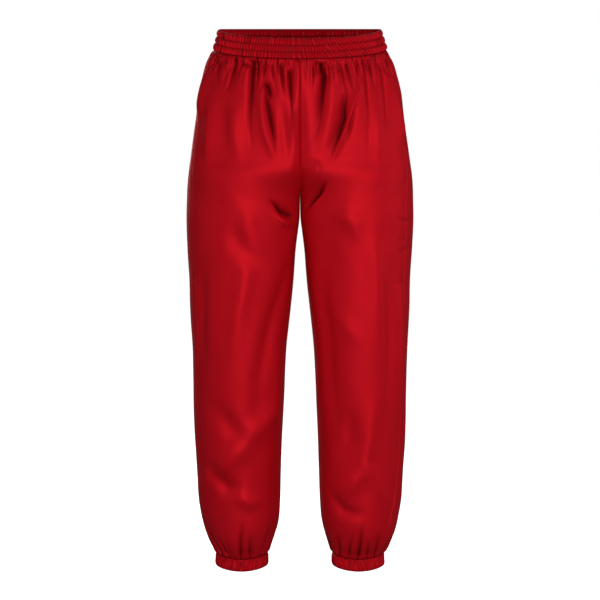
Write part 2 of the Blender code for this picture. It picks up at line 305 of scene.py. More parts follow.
def section(turn, level):
    """A point of the plain body: half of the torso's oval, which closes to a leg's oval down to the crotch."""
    side, inseam = section_size("side", level), section_size("inseam", level)
    depth = np.where(turn < 0.5, section_size("front", level), section_size("back", level))
    cleft = FRONT_CLEFT_LEVEL + (BACK_CLEFT_LEVEL - FRONT_CLEFT_LEVEL) * smoothstep(turn)
    closing = smoothstep((cleft - level) / (cleft - CROTCH_LEVEL))
    corner = 1 + (HIP_CORNER - 1) * smoothstep(level / HIP_LEVEL) * (1 - closing)
    off_side = smoothstep(4 * np.abs(turn - 0.5))
    depth = depth / (1 - (1 - blend_depth(closing)) * off_side)
    torso_x = side * fuller(np.sin(np.pi * turn), corner)
    torso_y = -depth * fuller(np.cos(np.pi * turn), corner)
    leg_x = (side + inseam) / 2 - (side - inseam) / 2 * np.cos(2 * np.pi * turn)
    from_inseam = np.minimum(turn, 1 - turn)
    inner = smoothstep(1 - from_inseam / 0.25) * smoothstep((level - INNER_FADES_AT) / (CROTCH_LEVEL - INNER_FADES_AT))
    leg_y = -depth * fuller(np.sin(2 * np.pi * turn), 1 + (INNER_CORNER - 1) * inner)
    x = torso_x + (leg_x - torso_x) * closing
    y = torso_y + (leg_y - torso_y) * closing
    return x, y + section_size("middle", level)


def section_normal(turn, level):
    """The level direction that points out of the cloth."""
    step = 1e-4
    x0, y0 = section(turn - step, level)
    x1, y1 = section(turn + step, level)
    along_x, along_y = x1 - x0, y1 - y0
    length = np.hypot(along_x, along_y)
    return along_y / length, -along_x / length


def waist_tilt(turn, level):
    """How far the cloth hangs lower at the front, where the waist sits lower than at the back."""
    lift = -WAIST_FRONT_DROP * np.maximum(np.cos(np.pi * turn), 0.0)
    return lift * smoothstep((level - TILT_FADES_AT) / (-BAND_HEIGHT / 2 - TILT_FADES_AT))


def cuff_arch(turn, level):
    """How far the cuff rises at its sides and its seam drops elsewhere, which fades up the leg."""
    up = np.clip((level - CUFF_BOTTOM) / (CUFF_TOP - CUFF_BOTTOM), 0, 1)
    arch = CUFF_SIDE_RISE * (0.5 + 0.5 * np.cos(4 * np.pi * turn)) - CUFF_SEAM_DROP * up
    return arch * smoothstep((CUFF_ARCH_FADES_AT - level) / 90)


def cloth_points(side, turn, level, push):
    """Points of the cloth in metres, pushed out by its folds."""
    x, y = section(turn, level)
    out_x, out_y = section_normal(turn, level)
    x = x + out_x * push * smoothstep(x / CENTRE_EASE)
    y = y + out_y * push
    return np.stack((SIDES[side] * x, y, level + waist_tilt(turn, level) + cuff_arch(turn, level)), axis=-1) * MM


# %% Measures along the cloth
MEASURED_TURNS = 0.5 - 0.5 * np.cos(np.linspace(0.0, np.pi, 401))
MEASURED_LEVELS = np.linspace(BAND_HEIGHT / 2, CUFF_BOTTOM, 260)


def measure_form():
    """Lengths round the plain form from turn 0, one row for each measured level."""
    turn, level = np.meshgrid(MEASURED_TURNS, MEASURED_LEVELS)
    x, y = section(turn, level)
    steps = np.hypot(np.diff(x, axis=1), np.diff(y, axis=1))
    return np.concatenate((np.zeros((len(level), 1)), np.cumsum(steps, axis=1)), axis=1), x


ARC_TABLE, ACROSS_TABLE = measure_form()


def table_value(values, turn, level):
    """Reads a measured table between its rows and columns."""
    column = np.arccos(1 - 2 * np.clip(turn, 0, 1)) / np.pi * (len(MEASURED_TURNS) - 1)
    row = (MEASURED_LEVELS[0] - level) / (MEASURED_LEVELS[0] - MEASURED_LEVELS[-1]) * (len(MEASURED_LEVELS) - 1)
    row = np.clip(row, 0, len(MEASURED_LEVELS) - 1)
    i, j = np.minimum(row.astype(int), len(MEASURED_LEVELS) - 2), np.minimum(column.astype(int), len(MEASURED_TURNS) - 2)
    down, along = row - i, column - j
    return ((values[i, j] * (1 - along) + values[i, j + 1] * along) * (1 - down)
            + (values[i + 1, j] * (1 - along) + values[i + 1, j + 1] * along) * down)


def arc_at(turn, level):
    """The length round the form, in millimetres, from turn 0."""
    return table_value(ARC_TABLE, np.asarray(turn, float), np.asarray(level, float))


def turn_at(face, x, level):
    """The turn where the plain form, seen from the front or from behind, has this distance from the centre."""
    turn = np.linspace(0.01, 0.49, 241) if face == "front" else np.linspace(0.99, 0.51, 241)
    across = table_value(ACROSS_TABLE, turn, np.full_like(turn, float(level)))
    return float(np.interp(x, across, turn))


print(f"girth at the hips: {2 * arc_at(1.0, -219.0):.0f} mm")

# %% [markdown]
# ## Folds
#
# Each fold is a line on the cloth, through two to four points as they are seen from the front or from behind. Each
# row gives its half-width and its height in millimetres, below zero for a trough. A pleat is deepest under the band
# and fades, a drag fades at both ends, and a roll is a broad soft drag. The long list is what makes the garment this
# one, because satin shows light along every fold.

# %% Fold tables
FOLD_COLUMNS = ("face", "kind", "half_width", "height", "line")
FOLDS = {
    "left": (
        ("front", "pleat", 4, -3, ((26, -36), (26, -90))),
        ("front", "pleat", 9, -9, ((42, -32), (48, -53), (41, -114), (36, -152), (15, -205))),
        ("front", "roll", 13, 5, ((62, -40), (60, -110), (52, -160), (36, -225))),
        ("front", "pleat", 3.5, -4, ((55, -34), (55, -80))),
        ("front", "drag", 10, -9, ((86, -74), (84, -140), (73, -175), (56, -218))),
        ("front", "pleat", 4, -4, ((78, -36), (84, -66), (91, -100))),
        ("front", "pleat", 5, -5, ((90, -34), (97, -68), (104, -92))),
        ("front", "drag", 9, 8, ((118, -66), (100, -104), (90, -142), (77, -182), (58, -232))),
        ("front", "pleat", 4, -4, ((109, -34), (110, -78))),
        ("front", "drag", 6, -4, ((108, -112), (98, -142), (88, -190))),
        ("front", "pleat", 4, -4, ((122, -30), (127, -114), (129, -225))),
        ("front", "pleat", 4, -4, ((132, -30), (143, -86))),
        ("front", "pleat", 4, -4, ((153, -40), (160, -95), (165, -200))),
        ("front", "roll", 12, 4, ((144, -90), (147, -160), (148, -250))),
        ("front", "drag", 14, 5, ((28, -215), (34, -249), (22, -280))),
        ("front", "drag", 9, -8, ((48, -262), (34, -292), (10, -330))),
        ("front", "roll", 17, 6, ((88, -290), (100, -345), (116, -385))),
        ("front", "roll", 16, 5, ((142, -330), (145, -450), (142, -590))),
        ("front", "roll", 18, -6, ((60, -350), (42, -480), (56, -640), (74, -760))),
        ("front", "roll", 16, 3, ((64, -500), (92, -548), (118, -580))),
        ("front", "roll", 11, -5, ((168, -420), (172, -560), (168, -720))),
        ("front", "roll", 11, 4, ((190, -420), (192, -560), (189, -720))),
        ("front", "roll", 15, 5, ((146, -660), (124, -800), (150, -860), (164, -900))),
        ("front", "roll", 16, -6, ((100, -690), (92, -760), (70, -800))),
        ("front", "roll", 18, 7, ((130, -800), (96, -845), (70, -884))),
        ("front", "roll", 12, -6, ((60, -862), (82, -896), (126, -905))),
        ("round", "drag", 3, -2, ((0.36, -330), (0.40, -342), (0.46, -338))),
        ("round", "drag", 3, -1.8, ((0.37, -382), (0.40, -378), (0.45, -384))),
        ("round", "drag", 3, -2, ((0.37, -400), (0.41, -396), (0.46, -390))),
        ("round", "drag", 3, -1.8, ((0.37, -462), (0.40, -456), (0.46, -468))),
        ("back", "pleat", 8, -7, ((24, -20), (20, -150))),
        ("back", "pleat", 9, -8, ((66, -20), (70, -100), (74, -200))),
        ("back", "pleat", 5, -5, ((88, -20), (92, -96))),
        ("back", "pleat", 8, -7, ((106, -20), (118, -130))),
        ("back", "pleat", 8, -6, ((142, -18), (150, -100), (158, -210))),
        ("back", "roll", 13, 5, ((128, -80), (134, -150), (130, -235))),
        ("back", "roll", 14, 5, ((46, -70), (46, -130), (50, -215))),
        ("back", "roll", 14, -8, ((130, -245), (74, -288), (22, -325))),
        ("back", "roll", 12, -5, ((110, -330), (64, -352), (20, -362))),
        ("back", "roll", 16, 6, ((150, -290), (96, -330), (50, -352))),
        ("back", "roll", 18, 5, ((136, -380), (144, -480), (138, -580))),
        ("back", "roll", 16, -6, ((70, -540), (110, -590), (160, -612))),
        ("back", "roll", 14, -5, ((60, -610), (104, -640), (150, -632))),
        ("back", "roll", 17, 5, ((64, -580), (108, -618), (158, -628))),
        ("back", "roll", 18, -6, ((168, -700), (118, -790), (74, -850))),
        ("back", "roll", 17, 6, ((176, -760), (130, -840), (84, -890))),
    ),
    "right": (
        ("front", "pleat", 6, -7, ((21, -46), (15, -123), (11, -171), (5, -210))),
        ("front", "drag", 4, 4, ((21, -70), (15, -130), (8, -190))),
        ("front", "roll", 12, -7, ((36, -100), (30, -160), (22, -232))),
        ("front", "pleat", 5, -6, ((38, -34), (27, -105))),
        ("front", "pleat", 4, -4, ((54, -34), (43, -92))),
        ("front", "drag", 6, -8, ((75, -66), (62, -76), (56, -100))),
        ("front", "drag", 7, -8, ((66, -60), (63, -104), (57, -142), (44, -210))),
        ("front", "roll", 9, 7, ((76, -72), (72, -120), (66, -165), (46, -226))),
        ("front", "pleat", 4, -4, ((69, -32), (70, -58))),
        ("front", "pleat", 4, -4, ((82, -32), (82, -90))),
        ("front", "pleat", 10, -7, ((92, -30), (94, -95), (96, -152), (88, -225))),
        ("front", "roll", 14, 5, ((122, -90), (124, -160), (116, -240))),
        ("front", "drag", 3, -5, ((118, -30), (104, -36), (88, -35))),
        ("front", "pleat", 5.5, -7, ((126, -28), (132, -57), (136, -78), (146, -98))),
        ("front", "roll", 14, -4, ((148, -80), (146, -150), (142, -230))),
        ("front", "pleat", 6, -3.5, ((158, -32), (154, -90))),
        ("front", "roll", 12, 4, ((168, -90), (172, -160), (172, -250))),
        ("front", "drag", 11, -10, ((58, -300), (34, -326), (8, -336))),
        ("front", "drag", 9, 6, ((54, -326), (34, -345), (14, -352))),
        ("front", "roll", 18, 4, ((124, -300), (98, -352), (68, -408))),
        ("front", "roll", 16, -4, ((132, -340), (112, -390), (80, -430))),
        ("front", "roll", 17, 6, ((116, -380), (102, -440), (118, -520), (126, -610))),
        ("front", "roll", 17, -7, ((16, -400), (44, -500), (74, -640), (80, -740))),
        ("front", "roll", 16, 5, ((40, -560), (44, -660), (52, -740))),
        ("front", "roll", 22, 8, ((30, -668), (90, -745), (150, -815), (196, -880))),
        ("front", "roll", 18, -6, ((166, -680), (128, -740), (84, -780))),
        ("front", "roll", 15, -8, ((176, -805), (140, -850), (108, -858))),
        ("front", "roll", 13, 5, ((128, -860), (96, -880), (70, -880))),
        ("front", "roll", 16, -4, ((184, -400), (186, -520), (184, -650))),
        ("back", "pleat", 9, -8, ((30, -20), (26, -190))),
        ("back", "pleat", 5, -5, ((50, -20), (46, -100))),
        ("back", "pleat", 8, -7, ((70, -20), (64, -140))),
        ("back", "pleat", 9, -8, ((110, -20), (124, -215))),
        ("back", "pleat", 8, -6, ((146, -18), (160, -150))),
        ("back", "roll", 14, 5, ((90, -80), (92, -150), (96, -230))),
        ("back", "roll", 13, 5, ((48, -120), (44, -190), (48, -245))),
        ("back", "roll", 14, -8, ((140, -230), (84, -278), (26, -318))),
        ("back", "roll", 12, -5, ((120, -318), (70, -348), (24, -358))),
        ("back", "roll", 16, 6, ((156, -280), (100, -318), (54, -344))),
        ("back", "roll", 18, 5, ((120, -390), (112, -470), (120, -560))),
        ("back", "roll", 16, -6, ((54, -600), (100, -572), (146, -545))),
        ("back", "roll", 14, -5, ((62, -640), (106, -622), (156, -600))),
        ("back", "roll", 17, 5, ((58, -622), (104, -600), (152, -572))),
        ("back", "roll", 18, -6, ((60, -720), (112, -790), (170, -840))),
        ("back", "roll", 17, 6, ((70, -780), (116, -840), (168, -880))),
    ),
}
CUFF_COLUMNS = ("turn", "reach", "depth", "half_width", "lean")
CUFF_FOLDS = {
    "left": (
        (0.04, 60, 5, 7, 0.2), (0.115, 58, 6, 5, 0.3), (0.175, 64, 6, 5, 0.35), (0.24, 82, 7, 6, 0.1),
        (0.30, 46, 5, 5, -0.2), (0.35, 66, 6, 6, -0.2), (0.41, 50, 5, 6, 0.0), (0.50, 72, 6, 7, 0.2),
        (0.60, 86, 6, 7, 0.3), (0.70, 58, 6, 6, -0.3), (0.80, 78, 6, 7, -0.1), (0.91, 56, 5, 6, 0.2),
    ),
    "right": (
        (0.05, 58, 5, 6, -0.2), (0.12, 92, 6, 5, -0.1), (0.19, 62, 6, 6, 0.1), (0.25, 96, 6, 5, -0.1),
        (0.32, 52, 5, 5, 0.3), (0.37, 96, 7, 6, 0.45), (0.42, 58, 5, 6, 0.3), (0.49, 70, 6, 7, 0.1),
        (0.59, 60, 6, 6, -0.2), (0.71, 84, 6, 7, -0.3), (0.81, 56, 6, 7, 0.2), (0.92, 76, 5, 6, 0.1),
    ),
}
CUFF_FOLD_SCALE = 1.5

# %% Folds as a function
STEEP_SIDE = 0.6
SOFT_SIDE = 1.5
LINE_POWER = 3


def fold_line(face, line):
    """The line's points as lengths round the form and levels."""
    turns = [x if face == "round" else turn_at(face, x, level) for x, level in line]
    return [(float(arc_at(turn, level)), float(level)) for turn, (x, level) in zip(turns, line)]


def crisp(away):
    """A sharp valley between soft shoulders, 1 at the middle. The shoulder where away is above 0 is the steep one."""
    away = np.where(away > 0, away / STEEP_SIDE, away / SOFT_SIDE)
    return np.exp(-1.5 * (np.sqrt(away**2 + 0.06) - 0.245))


def soft(away):
    return np.exp(-(away**2))


def fold_height(fold, arc, level):
    """How far one fold of the table pushes the cloth out, and the dark line at its bottom, which is painted shade."""
    points = fold_line(fold["face"], fold["line"])
    lengths = [np.hypot(b[0] - a[0], b[1] - a[1]) for a, b in zip(points, points[1:])]
    nearest = np.full(arc.shape, 1e9)
    along, outer = np.zeros(arc.shape), np.ones(arc.shape)
    done = 0.0
    for a, b, length in zip(points, points[1:], lengths):
        run_x, run_z = (b[0] - a[0]) / length, (b[1] - a[1]) / length
        held = np.clip((arc - a[0]) * run_x + (level - a[1]) * run_z, 0, length)
        off_x, off_z = arc - a[0] - run_x * held, level - a[1] - run_z * held
        away = np.hypot(off_x, off_z)
        along = np.where(away < nearest, (done + held) / sum(lengths), along)
        outer = np.where(away < nearest, np.sign(off_z * run_x - off_x * run_z), outer)
        nearest = np.minimum(nearest, away)
        done += length
    fade = 1 - smoothstep(along) if fold["kind"] == "pleat" else np.sin(np.pi * (0.06 + 0.88 * along)) ** 1.6
    away = nearest / fold["half_width"]
    shape = soft(away) if fold["kind"] == "roll" else crisp(away * outer)
    # Painted shade: the troughs of pleats and drags get a dark line in the colour.
    line = 0 if fold["kind"] == "roll" or fold["height"] > 0 else -fold["height"] * fade * shape**LINE_POWER
    return fold["height"] * fade * shape, line


# %% [markdown]
# ## Gathers and ripples
#
# Between the long folds the cloth is drawn up in fine gathers, where the elastic shortens it. Their places are random,
# but seeded, so that the garment is the same each time. Faint ripples in many directions keep the highlights on the
# legs from being too clean.

# %% Gathers and ripples
BAND_GATHERS = {"count": 92, "reaches": (20, 95), "depths": (2.2, 5.4), "widths": (1.8, 3.2)}
CUFF_GATHERS = {"count": 34, "reaches": (16, 66), "depths": (1.4, 3.6), "widths": (1.8, 3.0)}
RIPPLES = 14


def seeded_gathers(seed, count, reaches, depths, widths):
    """Rows of turn, reach, depth, half-width and lean, at uneven steps round the side."""
    rng = np.random.default_rng(seed)
    turn = (np.arange(count) + rng.uniform(-0.42, 0.42, count) + 0.5) / count
    reach = reaches[0] + (reaches[1] - reaches[0]) * rng.uniform(0, 1, count) ** 2
    return zip(turn, reach, rng.uniform(*depths, count), rng.uniform(*widths, count), rng.uniform(-0.12, 0.12, count))


def gathers_depth(rows, arc, girth, away):
    """The gathers that start at a seam, where away is the distance from it, and the dark lines at their bottoms, which
    are painted shade.
    """
    total, lines = np.zeros_like(arc), np.zeros_like(arc)
    for turn, reach, depth, half_width, lean in rows:
        across = arc - turn * girth - lean * away
        across = (across + girth / 2) % girth - girth / 2
        fade = depth * (1 - smoothstep(away / reach))
        shape = crisp(across / (half_width * (1 + away / reach)))
        total += fade * shape
        lines += fade * shape**LINE_POWER
    return total * (SEWN_DEPTH + (1 - SEWN_DEPTH) * smoothstep(away / 14)), lines


def ripple(seed, arc, level, lengths, height):
    """Faint waves across the cloth, the sum of many directions."""
    rng = np.random.default_rng(seed)
    total = np.zeros_like(arc)
    for step in range(RIPPLES):
        angle, wave, phase = rng.uniform(-0.9, 0.9), rng.uniform(*lengths), rng.uniform(0, 2 * np.pi)
        total += np.sin(2 * np.pi * (arc * np.cos(angle) + level * np.sin(angle)) / wave + phase)
    return height * total / np.sqrt(RIPPLES)


SEED = {"left": 11, "right": 29}
FOLD_SCALES = {"pleat": 1.8, "drag": 1.6, "roll": 1.15}
SEAM_EASE = 22.0
CREASE_DEPTH = 10.0
SEWN_DEPTH = 0.4
CENTRE_TROUGH = 9.0
CENTRE_TROUGH_WIDTH = 11.0
SEWN_PUSH = -3.6
SEWN_EASE = 8.0
CENTRE_DIP = 1.2
CENTRE_SEAM_EASE = 15.0


def main_push(side, turn, level):
    """All the folds of one side, in millimetres outwards, and the painted shade of each point, from 0 to 1, darkest in
    the creases and right under the band and over the cuff.
    """
    arc = arc_at(turn, level)
    girth = arc_at(1.0, level)
    under_band = -BAND_HEIGHT / 2 - level
    over_cuff = level - CUFF_TOP
    push = np.zeros_like(turn)
    painted_crease_shade = np.zeros_like(turn)
    for row in FOLDS[side]:
        fold = dict(zip(FOLD_COLUMNS, row))
        height, line = fold_height(fold, arc, level)
        push += FOLD_SCALES[fold["kind"]] * height
        painted_crease_shade += FOLD_SCALES[fold["kind"]] * line
    push += ripple(SEED[side], arc, level, (160, 320), 0.9) + ripple(SEED[side] + 1, arc, level, (40, 110), 0.22)
    push *= 0.45 + 0.55 * smoothstep(np.minimum(under_band, over_cuff) / SEAM_EASE)
    for scale, rows, away in (
        (CUFF_FOLD_SCALE, CUFF_FOLDS[side], over_cuff),
        (1.0, seeded_gathers(SEED[side] + 2, **BAND_GATHERS), under_band),
        (1.0, seeded_gathers(SEED[side] + 3, **CUFF_GATHERS), over_cuff),
    ):
        gathers, lines = gathers_depth(rows, arc, girth, away)
        push -= scale * gathers
        painted_crease_shade += scale * lines
    from_centre = np.minimum(arc, girth - arc)
    push = push * smoothstep(from_centre / CENTRE_SEAM_EASE) - CENTRE_DIP * np.exp(-((from_centre / 2.6) ** 2))
    sunk = smoothstep((-40 - level) / 130) * smoothstep((level + 400) / 120)
    push -= CENTRE_TROUGH * sunk * np.exp(-((from_centre / CENTRE_TROUGH_WIDTH) ** 2))
    # Painted shade: the colour is darker right under the band and right over the cuff.
    tucked = (1 - smoothstep(under_band / 3)) + (1 - smoothstep(over_cuff / 3))
    free = smoothstep(np.minimum(under_band, over_cuff) / SEWN_EASE)
    return SEWN_PUSH + (push - SEWN_PUSH) * free, painted_crease_shade / CREASE_DEPTH + 0.4 * tucked


# %% [markdown]
# ## Panels
#
# Each panel is a primitive grid of about two millimetres, moved onto the form by the functions above. Its points are
# spread by length along the cloth and crowd together at the seams, where the gathers are finest. A Solidify modifier
# turns the sheet into a thin shell. At the hips the front panel's side edge stands out and laps over the back panel,
# as the mouth of a side pocket does.

# %% Panels
PANEL_GRID = {"front": (172, 262), "back": (172, 262)}
CLOTH_THICKNESS = 0.0011
EDGE_STEPS = (0.0, 0.35, 0.9, 1.8, 3.2)
EDGE_TURN_IN = 2.2
LEG_TURN_IN = {"left": 2.0, "right": 0.5}
SIDE_DIP = 0.4
POCKET_TOP = -42.0
POCKET_BOTTOM = {"left": -205.0, "right": -158.0}
POCKET_LIFT = 6.0
POCKET_SINK = 10.0
POCKET_LAP = 5.0


def row_levels(rows):
    """Levels of the rows, closer together under the band and above the cuff."""
    top, bottom = -BAND_HEIGHT / 2 - SEAM_GAP, CUFF_TOP + SEAM_GAP
    level = np.linspace(top, bottom, 2000)
    density = 1 + 2.2 * np.exp(-(top - level) / 60) + 1.6 * np.exp(-(level - bottom) / 60)
    count = np.concatenate(([0.0], np.cumsum(density)[:-1]))
    return np.interp(np.linspace(0, count[-1], rows + 1), count, level)


def turns_between(first_arc, last_arc, columns, level):
    """Turns at even lengths along the form on one level, with closer ones at both edges."""
    edge = np.array(EDGE_STEPS)
    middle = np.linspace(first_arc + edge[-1], last_arc - edge[-1], columns + 3 - 2 * len(edge))
    wanted = np.concatenate((first_arc + edge[:-1], middle, last_arc - edge[-2::-1]))
    arcs = arc_at(MEASURED_TURNS, np.full_like(MEASURED_TURNS, level))
    return np.interp(wanted, arcs, MEASURED_TURNS)


def pocket_open(side, level):
    """1 along the pocket mouth and 0 past its ends."""
    return smoothstep((POCKET_TOP - level) / 26) * smoothstep((level - POCKET_BOTTOM[side]) / 46)


def add_grid(name, columns, rows):
    """A flat primitive grid, with the column and the row of each of its points."""
    bpy.ops.object.select_all(action="DESELECT")
    bpy.ops.mesh.primitive_grid_add(x_subdivisions=columns, y_subdivisions=rows, size=1.0, calc_uvs=True)
    sheet = bpy.context.object
    sheet.name = sheet.data.name = name
    flat = np.empty(3 * len(sheet.data.vertices))
    sheet.data.vertices.foreach_get("co", flat)
    column = np.rint((flat[0::3] + 0.5) * columns).astype(int)
    row = np.rint((0.5 - flat[1::3]) * rows).astype(int)
    return sheet, column, row


def place_points(sheet, points, u, v, painted_crease_shade, gathered):
    """Moves the grid onto the form, lays its UV map out in metres and stores the painted crease shade and how gathered
    each point is.
    """
    mesh = sheet.data
    mesh.attributes.new("painted_crease_shade", "FLOAT", "POINT").data.foreach_set("value", np.clip(painted_crease_shade, 0.0, 1.0))
    mesh.attributes.new("gathered", "FLOAT", "POINT").data.foreach_set("value", gathered)
    mesh.vertices.foreach_set("co", points.ravel())
    corners = np.empty(len(mesh.loops), int)
    mesh.loops.foreach_get("vertex_index", corners)
    mesh.uv_layers["UVMap"].data.foreach_set("uv", np.stack((u[corners], v[corners]), axis=-1).ravel() * MM)
    mesh.update()


def face_outwards(sheet, outward):
    """Flips the faces where the mesh faces into the cloth. outward holds a direction for each point."""
    normals = np.empty(3 * len(sheet.data.vertices))
    sheet.data.vertices.foreach_get("normal", normals)
    if (normals.reshape(-1, 3) * outward).sum() < 0:
        sheet.data.flip_normals()


def add_panel(face, side):
    columns, rows = PANEL_GRID[face]
    name = f"{face}_panel_{side}"
    sheet, column, row = add_grid(f"{name}_cloth", columns, rows)
    levels = row_levels(rows)
    turns = np.empty((rows + 1, columns + 1))
    for index, level in enumerate(levels):
        seam_arc = float(arc_at(side_seam_turn(side, level), level))
        lap = POCKET_LAP * float(pocket_open(side, level))
        first = 0.0 if face == "front" else seam_arc
        last = seam_arc + lap if face == "front" else float(arc_at(1.0, level))
        turns[index] = turns_between(first, last, columns, level)
    turn, level = turns[row, column], levels[row]
    arc = arc_at(turn, level)
    from_seam = np.abs(arc - arc_at(side_seam_turn(side, level), level))
    opening = pocket_open(side, level)
    push, painted_crease_shade = main_push(side, turn, level)
    push -= SIDE_DIP * np.exp(-((from_seam / 2.6) ** 2)) * (1 - opening)
    from_edge = np.minimum(arc, arc_at(1.0, level) - arc)
    from_edge = np.where(opening > 0.02, from_edge, np.minimum(from_edge, from_seam))
    turn_in = EDGE_TURN_IN + (LEG_TURN_IN[side] - EDGE_TURN_IN) * smoothstep((-200 - level) / 120)
    push -= turn_in * np.exp(-((from_edge / 0.8) ** 2))
    if face == "front":
        push += POCKET_LIFT * opening * np.exp(-((from_seam / 16) ** 2))
    else:
        push -= POCKET_SINK * opening * np.exp(-((from_seam / 20) ** 2))
        # Painted shade inside the pocket mouth of the back panel.
        painted_crease_shade += 1.2 * opening * np.exp(-((from_seam / 9) ** 2))
    points = cloth_points(side, turn, level, push)
    # How strongly the painted shade of fine gather lines shows, most right under the band.
    gathered = np.maximum(1 + (level + BAND_HEIGHT / 2) / 70, 0) ** 1.5
    place_points(sheet, points, arc * SIDES[side], level, painted_crease_shade, gathered)
    out_x, out_y = section_normal(turn, level)
    face_outwards(sheet, np.stack((out_x * SIDES[side], out_y, np.zeros_like(out_x)), axis=-1))
    bpy.ops.object.shade_smooth()
    wall = sheet.modifiers.new("wall", "SOLIDIFY")
    wall.thickness = CLOTH_THICKNESS
    wall.offset = -1.0
    return name, sheet


for side in SIDES:
    for face in PANEL_GRID:
        name, sheet = add_panel(face, side)
        sheet.data.materials.append(panel_satin)
        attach(sheet, "root")
        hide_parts(name)
        print(name, len(sheet.data.polygons), "faces")

# %% [markdown]
# ## Ruched bands
#
# The waistband holds three channels of elastic. The cloth over them is longer than the elastic, so it stands up in
# fine ribs. The ribs of one channel do not meet those of the next, because a row of stitches runs between. A ring
# is a primitive grid wrapped round the ring's section and along its length, and its meeting edges are then merged.

# %% Rings
def ring_profile(top, bottom, wall, outer, lip, inner):
    """Level, inset and side of the wall for each row round the section of a ring, starting at the top outside."""
    radius = wall / 2
    bend = np.linspace(0, np.pi, lip + 2)[1:-1]
    down = np.linspace(top - radius, bottom + radius, outer)
    up = np.linspace(bottom + radius, top - radius, inner)
    level = np.concatenate((down, bottom + radius - radius * np.sin(bend), up, top - radius + radius * np.sin(bend)))
    inset = np.concatenate((np.zeros(outer), radius - radius * np.cos(bend), np.full(inner, wall),
                            radius + radius * np.cos(bend)))
    return level, inset, 1 - 2 * inset / wall


def add_ring(name, columns, rows):
    """A primitive grid for a ring, with the share round and the row of each of its points."""
    ring, column, row = add_grid(name, columns, rows)
    return ring, column / columns, row


def close_ring(ring, points, around, row_share, girth, height, outward, painted_crease_shade):
    """Wraps the grid onto the ring and merges the edges that meet."""
    place_points(ring, points, around * girth, row_share * 2 * height, painted_crease_shade, np.zeros_like(painted_crease_shade))
    face_outwards(ring, outward)
    bpy.ops.object.mode_set(mode="EDIT")
    bpy.ops.mesh.select_all(action="SELECT")
    bpy.ops.mesh.remove_doubles(threshold=1e-6)
    bpy.ops.object.mode_set(mode="OBJECT")
    bpy.ops.object.shade_smooth()


def rib_height(seed, around, count, lean, level):
    """Uneven ribs round a ring, 0 in their valleys and up to 1 on top. around goes from 0 to 1."""
    rng = np.random.default_rng(seed)
    phase = count * around + lean * level
    strength = np.full_like(around, 0.78)
    for wave in range(1, 40):
        phase = phase + rng.normal(0, 0.45 / np.sqrt(wave)) * np.sin(2 * np.pi * (wave * around + rng.uniform()))
    for wave in (2, 3, 5, 9, 14, 23, 37, 60, 81):
        strength = strength + 0.13 * np.sin(2 * np.pi * (wave * around + rng.uniform()))
    ridge = 1 - np.abs(np.cos(np.pi * phase)) ** 2.6
    return np.clip(strength, 0.15, 1.15) * ridge


# %% Waistband
BAND_COLUMNS = 1288
BAND_RIBS = 156
BAND_WALL = 2.8
RIB_HEIGHT = 3.4
CHANNEL_SWELL = 2.6
CHANNEL_SEEDS = (5, 6, 7)


def band_slant(around):
    """How far the ribs lean, in ribs a millimetre: most at the wearer's left of the front."""
    return 0.01 + 0.07 * np.exp(-(((around - 0.12) / 0.10) ** 2))


def band_place(around, level):
    """Turn and side of each point of the waist ring, at even lengths round it."""
    left = around < 0.5
    share = np.where(left, 2 * around, 2 - 2 * around)
    arcs = arc_at(MEASURED_TURNS, np.zeros_like(MEASURED_TURNS))
    return np.interp(share * arcs[-1], arcs, MEASURED_TURNS), np.where(left, 1.0, -1.0)


def band_points(around, level, push, inset):
    turn, sign = band_place(around, level)
    x, y = section(turn, level)
    out_x, out_y = section_normal(turn, level)
    out_x = out_x * smoothstep(x / 6)
    reach = push - inset
    points = np.stack((sign * (x + out_x * reach), y + out_y * reach, level + waist_tilt(turn, level)), axis=-1) * MM
    return points, np.stack((sign * out_x, out_y, np.zeros_like(out_x)), axis=-1)


def band_push(around, level):
    """Channels that swell over the elastic and their ribs, each channel with ribs of its own, and painted shade in the
    grooves between the channels and in the rib valleys.
    """
    down = np.clip((BAND_HEIGHT / 2 - level) / (BAND_HEIGHT / 3), 0, 2.999)
    channel = np.floor(down)
    swell = np.clip(4 * (down - channel) * (channel + 1 - down), 0, 1) ** 0.5
    push = CHANNEL_SWELL * (swell - 1)
    # Painted shade in the grooves between channels, and below it in the rib valleys.
    painted_crease_shade = 0.8 * (1 - swell) ** 1.5
    for index, seed in enumerate(CHANNEL_SEEDS):
        ribs = rib_height(seed, around, BAND_RIBS, band_slant(around), level)
        push = push + np.where(channel == index, RIB_HEIGHT * (ribs - 0.6) * swell, 0)
        painted_crease_shade = painted_crease_shade + np.where(channel == index, 1.5 * np.clip(0.42 - ribs, 0, 1), 0)
    return push, painted_crease_shade


def add_waistband():
    level, inset, side_of_wall = ring_profile(BAND_HEIGHT / 2, -BAND_HEIGHT / 2, BAND_WALL, 34, 3, 16)
    rows = len(level)
    ring, around, row = add_ring("waistband_cloth", BAND_COLUMNS, rows)
    at = row % rows
    push, painted_crease_shade = band_push(around % 1.0, level[at])
    points, outward = band_points(around % 1.0, level[at], push, inset[at])
    girth = 2 * float(arc_at(1.0, 0.0))
    close_ring(ring, points, around, row / rows, girth, BAND_HEIGHT, outward * side_of_wall[at][:, None], painted_crease_shade)
    return ring


waistband = add_waistband()
waistband.data.materials.append(band_satin)
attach(waistband, "root")
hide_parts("waistband")
print("waistband", len(waistband.data.polygons), "faces")

# %% Cuffs
CUFF_COLUMNS_ROUND = 528
CUFF_RIBS = 66
CUFF_RIB_HEIGHT = 2.4
CUFF_WALL = 2.6
CUFF_SWELL = 3.0


